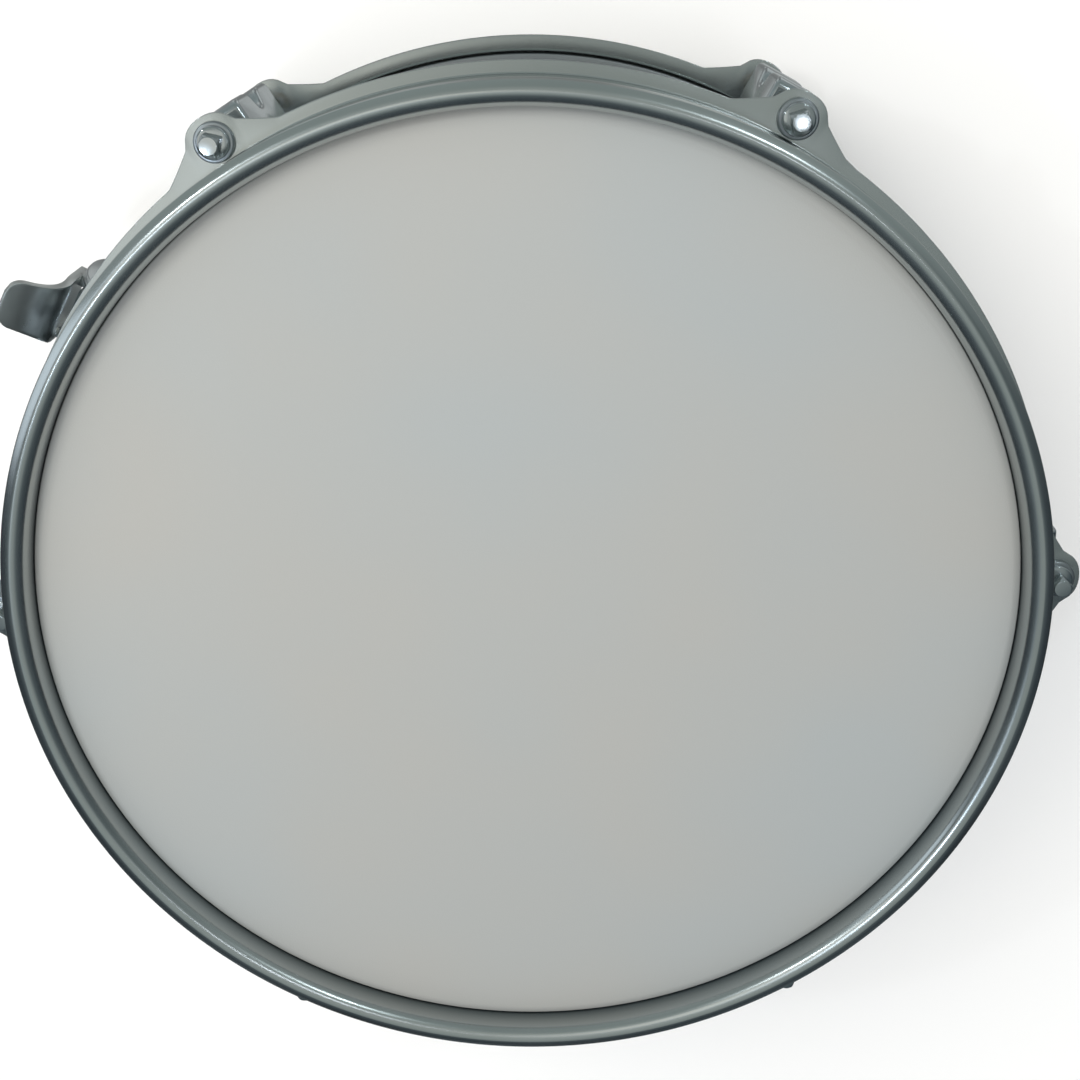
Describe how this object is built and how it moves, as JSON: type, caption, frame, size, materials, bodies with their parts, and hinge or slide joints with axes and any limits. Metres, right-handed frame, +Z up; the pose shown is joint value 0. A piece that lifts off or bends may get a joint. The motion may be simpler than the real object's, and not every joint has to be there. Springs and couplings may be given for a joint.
{
  "type": "marching snare drum",
  "caption": "Marching snare drum: chrome steel shell and flanged hoops, coated batter head, lug casings with tension rods, snare strainer with lever and knob, butt plate and snare wires.",
  "frame": {"origin": "on the drum's axis, at the level of the flat crest of the snare-side hoop that it stands on", "axes": "+Z up along the drum's axis, out of the batter head; +X to the first tension rod; the strainer is on the side 30 degrees from +X towards -Y, and the air vent is at +Y"},
  "size_m": [0.4104, 0.3852, 0.1633],
  "materials": {
    "shell": "polished chrome plate on steel",
    "hoop": "polished chrome plate on steel",
    "rod": "chrome plate on steel",
    "casting": "chrome plate on a zinc casting",
    "grommet": "chrome plate on brass",
    "washer": "satin steel",
    "wire": "drawn steel wire",
    "nut": "machined brass",
    "flesh_hoop": "mill finish",
    "coated_film": "white coated polyester film, matt",
    "clear_film": "thin hazy polyester film",
    "strap": "white polyester tape"
  },
  "bodies": {
    "drum": {"shell": "shell", "vent_grommet": "grommet", "batter_head": "coated_film", "batter_flesh_hoop": "flesh_hoop", "batter_hoop": "hoop", "batter_washer_1": "washer", "batter_washer_2": "washer", "batter_washer_3": "washer", "batter_washer_4": "washer", "batter_washer_5": "washer", "batter_washer_6": "washer", "snare_side_head": "clear_film", "snare_side_flesh_hoop": "flesh_hoop", "snare_side_hoop": "hoop", "snare_side_washer_1": "washer", "snare_side_washer_2": "washer", "snare_side_washer_3": "washer", "snare_side_washer_4": "washer", "snare_side_washer_5": "washer", "snare_side_washer_6": "washer", "lug_casing_1": "casting", "batter_swivel_nut_1": "nut", "snare_side_swivel_nut_1": "nut", "lug_casing_2": "casting", "batter_swivel_nut_2": "nut", "snare_side_swivel_nut_2": "nut", "lug_casing_3": "casting", "batter_swivel_nut_3": "nut", "snare_side_swivel_nut_3": "nut", "lug_casing_4": "casting", "batter_swivel_nut_4": "nut", "snare_side_swivel_nut_4": "nut", "lug_casing_5": "casting", "batter_swivel_nut_5": "nut", "snare_side_swivel_nut_5": "nut", "lug_casing_6": "casting", "batter_swivel_nut_6": "nut", "snare_side_swivel_nut_6": "nut", "strainer_housing": "casting", "snare_wires": "wire", "strainer_strap": "strap", "butt_plate": "casting", "butt_strap": "strap"},
    "lever": {"strainer_lever": "casting"},
    "carriage": {"strainer_carriage": "casting"},
    "knob": {"tension_knob": "casting"},
    "clamp": {"strainer_clamp_block": "casting", "strainer_clamp_plate": "casting"},
    "batter_rod_body_1": {"batter_rod_1": "rod"},
    "batter_rod_body_2": {"batter_rod_2": "rod"},
    "batter_rod_body_3": {"batter_rod_3": "rod"},
    "batter_rod_body_4": {"batter_rod_4": "rod"},
    "batter_rod_body_5": {"batter_rod_5": "rod"},
    "batter_rod_body_6": {"batter_rod_6": "rod"},
    "snare_side_rod_body_1": {"snare_side_rod_1": "rod"},
    "snare_side_rod_body_2": {"snare_side_rod_2": "rod"},
    "snare_side_rod_body_3": {"snare_side_rod_3": "rod"},
    "snare_side_rod_body_4": {"snare_side_rod_4": "rod"},
    "snare_side_rod_body_5": {"snare_side_rod_5": "rod"},
    "snare_side_rod_body_6": {"snare_side_rod_6": "rod"}
  },
  "joints": [
    {"name": "lever_throw", "type": "hinge", "parent": "drum", "child": "lever", "pos_m": [0.16889, -0.09751, 0.063], "axis": [0.5, 0.866, 0], "range_deg": [0, 100]},
    {"name": "carriage_lift", "type": "slide", "parent": "drum", "child": "carriage", "axis": [0, 0, 1], "range_m": [-0.007, 0], "deforming": ["strainer_strap"]},
    {"name": "knob_turn", "type": "hinge", "parent": "carriage", "child": "knob", "pos_m": [0.16404, -0.09471, 0.1], "axis": [0, 0, 1], "range_deg": [-1080, 1080]},
    {"name": "clamp_travel", "type": "slide", "parent": "carriage", "child": "clamp", "axis": [0, 0, 1], "range_m": [-0.003, 0.003]},
    {"name": "batter_rod_turn_1", "type": "hinge", "parent": "drum", "child": "batter_rod_body_1", "pos_m": [0.196, 0, 0.12], "axis": [0, 0, 1], "continuous": true},
    {"name": "batter_rod_turn_2", "type": "hinge", "parent": "drum", "child": "batter_rod_body_2", "pos_m": [0.098, 0.16974, 0.12], "axis": [0, 0, 1], "continuous": true},
    {"name": "batter_rod_turn_3", "type": "hinge", "parent": "drum", "child": "batter_rod_body_3", "pos_m": [-0.098, 0.16974, 0.12], "axis": [0, 0, 1], "continuous": true},
    {"name": "batter_rod_turn_4", "type": "hinge", "parent": "drum", "child": "batter_rod_body_4", "pos_m": [-0.196, 0, 0.12], "axis": [0, 0, 1], "continuous": true},
    {"name": "batter_rod_turn_5", "type": "hinge", "parent": "drum", "child": "batter_rod_body_5", "pos_m": [-0.098, -0.16974, 0.12], "axis": [0, 0, 1], "continuous": true},
    {"name": "batter_rod_turn_6", "type": "hinge", "parent": "drum", "child": "batter_rod_body_6", "pos_m": [0.098, -0.16974, 0.12], "axis": [0, 0, 1], "continuous": true},
    {"name": "snare_side_rod_turn_1", "type": "hinge", "parent": "drum", "child": "snare_side_rod_body_1", "pos_m": [0.196, 0, 0.045], "axis": [0, 0, 1], "continuous": true},
    {"name": "snare_side_rod_turn_2", "type": "hinge", "parent": "drum", "child": "snare_side_rod_body_2", "pos_m": [0.098, -0.16974, 0.045], "axis": [0, 0, 1], "continuous": true},
    {"name": "snare_side_rod_turn_3", "type": "hinge", "parent": "drum", "child": "snare_side_rod_body_3", "pos_m": [-0.098, -0.16974, 0.045], "axis": [0, 0, 1], "continuous": true},
    {"name": "snare_side_rod_turn_4", "type": "hinge", "parent": "drum", "child": "snare_side_rod_body_4", "pos_m": [-0.196, 0, 0.045], "axis": [0, 0, 1], "continuous": true},
    {"name": "snare_side_rod_turn_5", "type": "hinge", "parent": "drum", "child": "snare_side_rod_body_5", "pos_m": [-0.098, 0.16974, 0.045], "axis": [0, 0, 1], "continuous": true},
    {"name": "snare_side_rod_turn_6", "type": "hinge", "parent": "drum", "child": "snare_side_rod_body_6", "pos_m": [0.098, 0.16974, 0.045], "axis": [0, 0, 1], "continuous": true}
  ],
  "couplings": [
    {"joint": "lever_throw", "follows": "carriage_lift", "rad_per_m": -249.3},
    {"joint": "knob_turn", "follows": "clamp_travel", "rad_per_m": -6283}
  ]
}
